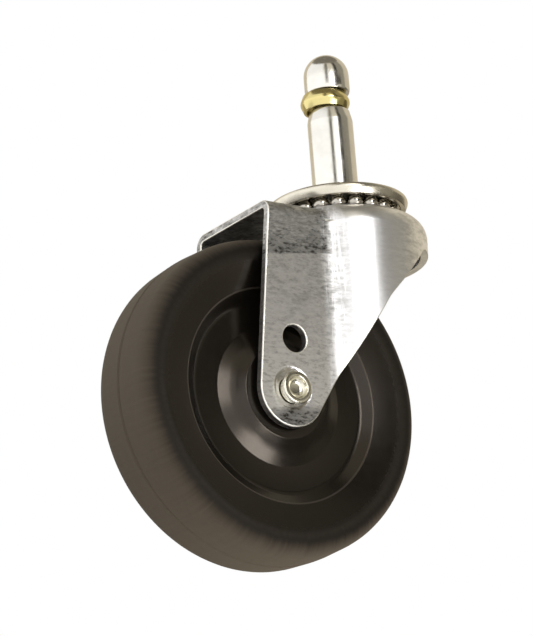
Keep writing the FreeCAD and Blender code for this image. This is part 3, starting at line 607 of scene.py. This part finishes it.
class CASTOR_OT_fork(bpy.types.Operator):
    """Finish the drawn fork with worn edges in brighter zinc, partly a painted highlight, and a
    smooth skin
    """
    bl_idname = "castor.fork"
    bl_label = "Fork"

    def execute(self, context):
        sizes = context.scene.castor_fork
        loose, flat_within, sharp_past = 2e-6, math.radians(0.5), math.radians(50)
        level_past, upright_within, crown_foot = 0.995, 0.002, -16.0 * MM
        sheared = 1
        bm = bmesh.new()
        bm.from_mesh(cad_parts["fork"].data)
        bmesh.ops.remove_doubles(bm, verts=bm.verts, dist=loose)
        bmesh.ops.dissolve_limit(bm, angle_limit=flat_within, verts=bm.verts, edges=bm.edges)
        # The cut through the sheet never faces the sides, and on the crown never up or down. Its
        # faces take the brighter edge zinc, which is partly a painted highlight.
        for face in bm.faces:
            high_up = face.calc_center_median().z > crown_foot
            crown = abs(face.normal.z) > level_past and high_up
            if abs(face.normal.y) < upright_within and not crown:
                face.material_index = sheared
        piece = finish_mesh(bm, "fork_pressing", smooth_angle=32.0)
        plate = zinc_on_drawn_sheet("Zinc plate on drawn steel sheet", sizes.plate, sizes.dull)
        settle(piece, "swivel_fork", "fork_plate", plate, "fork")
        # Second slot: brighter zinc on the cut and rounded edges, partly a painted highlight
        piece.data.materials.append(polished_plate(
            "Zinc on the sheet's sheared edges", sizes.edge_zinc_and_highlight, roughness=0.34, mark_mm=0.5,
            depth_mm=0.02, stretch=ACROSS_SHEET))
        # The rounding is real geometry; its faces take the same brighter zinc, partly a painted
        # highlight
        worn = piece.modifiers.new("worn edges", "BEVEL")
        worn.width = sizes.edge
        worn.segments = 3
        worn.limit_method = "ANGLE"
        worn.angle_limit = sharp_past
        worn.use_clamp_overlap = False
        worn.material = sheared
        flat = piece.modifiers.new("flat faces stay flat", "WEIGHTED_NORMAL")
        flat.keep_sharp = True
        return {"FINISHED"}


class CASTOR_OT_axle(bpy.types.Operator):
    """Make the cupped rivet, the sleeve on it and the washers beside the hub"""
    bl_idname = "castor.axle"
    bl_label = "Axle"

    def execute(self, context):
        sizes = context.scene.castor_rivet
        end, root = LEG_HALF + 2.2 * MM, LEG_HALF - 0.5 * MM
        rim, floor = end - 0.9 * MM, end - sizes.hollow
        flare_bend, rim_bend, mouth_bend, floor_bend = 0.6 * MM, 0.45 * MM, 0.25 * MM, 1.4 * MM
        corners, bends = both_halves(
            [(sizes.radius, root), (sizes.flare, rim), (sizes.flare, end), (sizes.mouth, end),
             (sizes.floor, floor), (0.0, floor)],
            {1: flare_bend, 2: rim_bend, 3: mouth_bend, 4: floor_bend})
        rivet = turned("axle_rivet_pin", corners, bends, steps=96, place=ON_AXLE)
        plate = polished_plate("Bright zinc on a rolled rivet", sizes.plate, roughness=0.16,
                               mark_mm=0.5, depth_mm=0.02, stretch=ALONG_AXLE)
        settle(rivet, "swivel_fork", "rivet_plate", plate, "axle_rivet")

        bare = bare_steel("Plain turned steel")
        edge_bend = 0.1 * MM
        for node, name, inner in (
                ("axle_sleeve", "axle_sleeve_tube", RIVET_BORE),
                ("thrust_washer_near", "thrust_washer_near_disc", SLEEVE_BORE),
                ("thrust_washer_far", "thrust_washer_far_disc", SLEEVE_BORE)):
            low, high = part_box(node)
            outer = (high.x - low.x) / 2
            corners = [(inner, low.y), (outer, low.y), (outer, high.y), (inner, high.y)]
            piece = turned(name, corners, {1: edge_bend, 2: edge_bend}, steps=96, place=ON_AXLE)
            settle(piece, "swivel_fork", "hub_steel", bare, node)
        return {"FINISHED"}


class CASTOR_OT_wheel(bpy.types.Operator):
    """Mould the rubber wheel and set the bush in its hub"""
    bl_idname = "castor.wheel"
    bl_label = "Wheel"

    def execute(self, context):
        sizes = context.scene.castor_wheel
        low, high = (corner.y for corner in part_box("hub_bush"))
        bush_stand = 0.05 * MM
        hub = high - bush_stand
        # Radius and half width: face and foot of the hub, floor of the dish, edge of the side
        hub_face, hub_foot, hub_foot_half = 10.7 * MM, 13.4 * MM, 9.05 * MM
        dish_in, dish_out, dish_half = 16.7 * MM, 22.9 * MM, 7.8 * MM
        side_in, side_half = 25.57 * MM, 9.49 * MM
        groove, groove_half = 0.35 * MM, 0.55 * MM
        outline, bends = both_halves(
            [(BUSH_OUTSIDE, hub), (hub_face, hub), (hub_foot, hub_foot_half),
             (dish_in, dish_half), (dish_out, dish_half), (side_in, side_half),
             (sizes.tread_corner, sizes.tread_half), (sizes.radius, groove_half)],
            {1: 0.6 * MM, 2: 12.0 * MM, 3: 0.8 * MM, 4: 2.2 * MM, 5: 0.5 * MM, 6: sizes.bend},
            middle=[(sizes.radius - groove, 0.0)])
        wheel = turned("wheel_moulding", outline, bends, steps=240, place=ON_AXLE)
        rubber = moulded_rubber("Moulded black rubber", sizes)
        settle(wheel, "rolling_wheel", "wheel_rubber", rubber, "wheel")

        outline = [(SLEEVE_BORE, low), (BUSH_OUTSIDE, low), (BUSH_OUTSIDE, high),
                   (SLEEVE_BORE, high)]
        bush = turned("hub_bush_tube", outline, {}, steps=96, place=ON_AXLE)
        settle(bush, "rolling_wheel", "hub_steel", bare_steel("Plain turned bush steel"),
               "hub_bush")
        return {"FINISHED"}


# Stage: the camera's place in metres and its turns in degrees, as fitted to the photograph
CAMERA_PLACE = (-0.37561, -0.49382, -0.22440)
CAMERA_TURNS = (107.6150, 4.1287, -34.1851)

# Soft lamps: bearing and rise in degrees, distance and width in metres, share of the key light
LAMPS = (
    ("key_softbox", 205.0, 34.0, 0.8, 0.55, 1.0),
    ("front_softbox", 262.0, 30.0, 0.9, 0.35, 0.4),
    ("low_softbox", 310.0, -55.0, 0.7, 0.5, 3.4),
)

WHITE, WARM, GREY, THIN, LOW, PALE, DARK, CEILING = (linear(code) for code in (
    "ffffff", "cdc3ad", "a09b8d", "716f68", "6b665b", "c4beb2", "3d3a33", "857f72"))

# Glowing cards: colour, glow, distance in metres, and from where to where each one reaches in
# bearing and in rise, in degrees
CARDS = (
    ("wall_card", WARM, 1.25, 0.62, (-24.0, 118.0), (4.0, 62.0)),
    ("grey_card", GREY, 1.0, 0.60, (-85.0, -24.0), (-20.0, 75.0)),
    ("dark_strip", DARK, 1.0, 0.59, (-85.0, -67.0), (6.0, 62.0)),
    ("dark_patch", DARK, 1.0, 0.58, (-67.5, -50.0), (10.5, 20.0)),
    ("pale_patch", PALE, 1.3, 0.58, (-67.5, -50.0), (-10.0, 6.5)),
    ("left_card", WHITE, 1.6, 0.64, (118.0, 275.0), (-12.0, 25.0)),
    ("upper_left_card", WHITE, 1.3, 0.64, (118.0, 222.0), (25.0, 55.0)),
    ("upper_front_card", GREY, 2.4, 0.64, (222.0, 275.0), (25.0, 62.0)),
    ("apron_card", WHITE, 1.5, 0.64, (170.0, 275.0), (-38.0, -12.0)),
    ("thin_card", THIN, 1.0, 0.60, (-131.0, -117.0), (9.5, 55.0)),
    ("left_window", WHITE, 8.2, 0.55, (-103.0, -90.0), (2.0, 22.0)),
    ("low_window", WHITE, 9.0, 0.45, (-95.0, -67.0), (-34.0, -17.0)),
    ("ceiling_card", CEILING, 1.0, 0.57, (0.0, 360.0), (57.0, 89.0)),
    ("low_right_card", LOW, 1.0, 0.62, (-24.0, 20.0), (-60.0, 4.0)),
    ("low_wall_card", WARM, 0.8, 0.62, (20.0, 118.0), (-60.0, 4.0)),
    ("low_front_card", LOW, 1.0, 0.60, (-66.0, -24.0), (-60.0, -20.0)),
)


def glowing_card(name, tone, glow_level, reach, bearings, rises):
    """Hangs a curved card round the castor that only its own reflections show."""
    rows, columns = 8, 24
    bm = bmesh.new()
    spots = []
    for row in range(rows + 1):
        rise = math.radians(rises[0] + (rises[1] - rises[0]) * row / rows)
        spots.append(bm.verts.new((reach * math.cos(rise), 0.0, reach * math.sin(rise))))
    edges = [bm.edges.new(pair) for pair in zip(spots, spots[1:])]
    bmesh.ops.rotate(bm, cent=(0, 0, 0), verts=bm.verts,
                     matrix=Matrix.Rotation(math.radians(bearings[0]), 3, "Z"))
    bmesh.ops.spin(bm, geom=bm.verts[:] + edges, cent=(0, 0, 0), axis=(0, 0, 1), steps=columns,
                   angle=math.radians(bearings[1] - bearings[0]), use_duplicate=False)
    card = finish_mesh(bm, name, smooth_angle=180.0)
    material, tree, output = new_material(f"{name} paper")
    glow = add_node(tree, "ShaderNodeEmission", {"Color": rgba(tone), "Strength": glow_level})
    tree.links.new(glow.outputs["Emission"], output.inputs["Surface"])
    card.data.materials.append(material)
    for ray in ("visible_camera", "visible_diffuse", "visible_transmission", "visible_shadow"):
        setattr(card, ray, False)


def seen_or_mirrored(tree):
    """1 where the camera sees the white studio, itself or in a mirror, and 0 for its light."""
    path = add_node(tree, "ShaderNodeLightPath")
    seen = add_node(tree, "ShaderNodeMath", {"operation": "ADD"},
                    {0: path.outputs["Is Camera Ray"], 1: path.outputs["Is Glossy Ray"]})
    return add_node(tree, "ShaderNodeMath", {"operation": "ADD", "use_clamp": True},
                    {0: seen, 1: path.outputs["Is Transmission Ray"]})


class CASTOR_OT_stage(bpy.types.Operator):
    """Set up the camera, the pale floor, the soft lights and the studio that the metal mirrors"""
    bl_idname = "castor.stage"
    bl_label = "Stage"

    def execute(self, context):
        sizes = context.scene.castor_stage
        self.add_camera(context, sizes)
        self.add_floor(sizes)
        self.add_lights(context, sizes)
        self.add_world(context, sizes)
        return {"FINISHED"}

    def add_camera(self, context, sizes):
        camera = bpy.data.cameras.new("camera")
        camera.lens = sizes.lens
        camera.sensor_fit = "VERTICAL"
        camera.sensor_height = 36.0
        camera.clip_start = 0.01
        holder = bpy.data.objects.new("camera", camera)
        holder.location = CAMERA_PLACE
        holder.rotation_euler = [math.radians(turn) for turn in CAMERA_TURNS]
        context.scene.collection.objects.link(holder)
        context.scene.camera = holder

    def add_floor(self, sizes):
        half, gap, own_glow = 2.0, 0.2 * MM, 0.45
        bm = bmesh.new()
        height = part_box("wheel")[0].z - gap
        bmesh.ops.create_grid(bm, x_segments=1, y_segments=1, size=half,
                              matrix=Matrix.Translation((0, 0, height)))
        floor = finish_mesh(bm, "floor")
        material, tree, output = new_material("Pale paper floor, seen from above only")
        share = add_node(tree, "ShaderNodeMath", {"operation": "MULTIPLY", 1: own_glow},
                         {0: seen_or_mirrored(tree)})
        matt = add_node(tree, "ShaderNodeBsdfDiffuse", {"Color": rgba(sizes.floor)})
        glow = add_node(tree, "ShaderNodeEmission", {"Color": (1, 1, 1, 1), "Strength": 1.0})
        paper = add_node(tree, "ShaderNodeMixShader", None, {0: share, 1: matt, 2: glow})
        clear = add_node(tree, "ShaderNodeBsdfTransparent")
        facing = add_node(tree, "ShaderNodeNewGeometry")
        behind = add_node(tree, "ShaderNodeMixShader", None,
                          {0: facing.outputs["Backfacing"], 1: paper, 2: clear})
        tree.links.new(behind.outputs["Shader"], output.inputs["Surface"])
        floor.data.materials.append(material)
        for ray in ("visible_diffuse", "visible_glossy", "visible_shadow"):
            setattr(floor, ray, False)

    def add_lights(self, context, sizes):
        target = Vector((-0.012, 0.0, -0.03))
        for name, bearing, rise, reach, width, share in LAMPS:
            lamp = bpy.data.lights.new(name, "AREA")
            lamp.shape = "SQUARE"
            lamp.size = width
            lamp.energy = sizes.key * share
            holder = bpy.data.objects.new(name, lamp)
            turn, lift = math.radians(bearing), math.radians(rise)
            away = Vector((math.cos(turn) * math.cos(lift), math.sin(turn) * math.cos(lift),
                           math.sin(lift)))
            holder.location = target + away * reach
            holder.rotation_euler = away.to_track_quat("Z", "Y").to_euler()
            holder.visible_glossy = False
            context.scene.collection.objects.link(holder)
        for card in CARDS:
            glowing_card(*card)

    def add_world(self, context, sizes):
        world = bpy.data.worlds.new("White studio")
        context.scene.world = world
        world.use_nodes = True
        tree = world.node_tree
        tree.nodes.clear()
        room, backdrop = (
            add_node(tree, "ShaderNodeBackground", {"Color": (1, 1, 1, 1), "Strength": strength})
            for strength in (sizes.world, 1.0))
        both = add_node(tree, "ShaderNodeMixShader", None,
                        {0: seen_or_mirrored(tree), 1: room, 2: backdrop})
        output = add_node(tree, "ShaderNodeOutputWorld")
        tree.links.new(both.outputs["Shader"], output.inputs["Surface"])
        context.scene.view_settings.view_transform = "Standard"


STEPS = (CASTOR_OT_stage, CASTOR_OT_stem, CASTOR_OT_grip_ring, CASTOR_OT_raceways,
         CASTOR_OT_balls, CASTOR_OT_fork, CASTOR_OT_axle, CASTOR_OT_wheel)


class CASTOR_PT_pieces(bpy.types.Panel):
    """Lists the castor's sizes, colours and pieces"""
    bl_idname = "CASTOR_PT_pieces"
    bl_label = "Swivel castor"
    bl_space_type = "VIEW_3D"
    bl_region_type = "UI"
    bl_category = "Castor"

    def draw(self, context):
        for name, group in SETTINGS.items():
            box = self.layout.box()
            settings = getattr(context.scene, name)
            for prop in group.__annotations__:
                box.prop(settings, prop)
        for step in STEPS:
            self.layout.operator(step.bl_idname)


def register():
    for group in SETTINGS.values():
        bpy.utils.register_class(group)
    for name, group in SETTINGS.items():
        setattr(bpy.types.Scene, name, PointerProperty(type=group))
    for step in STEPS:
        bpy.utils.register_class(step)
    bpy.utils.register_class(CASTOR_PT_pieces)


def unregister():
    bpy.utils.unregister_class(CASTOR_PT_pieces)
    for step in reversed(STEPS):
        bpy.utils.unregister_class(step)
    for name in SETTINGS:
        delattr(bpy.types.Scene, name)
    for group in reversed(SETTINGS.values()):
        bpy.utils.unregister_class(group)


def main():
    register()
    bpy.ops.castor.stage()
    bpy.ops.castor.stem()
    bpy.ops.castor.grip_ring()
    bpy.ops.castor.raceways()
    bpy.ops.castor.balls()
    bpy.ops.castor.fork()
    bpy.ops.castor.axle()
    bpy.ops.castor.wheel()


if __name__ == "__main__":
    main()
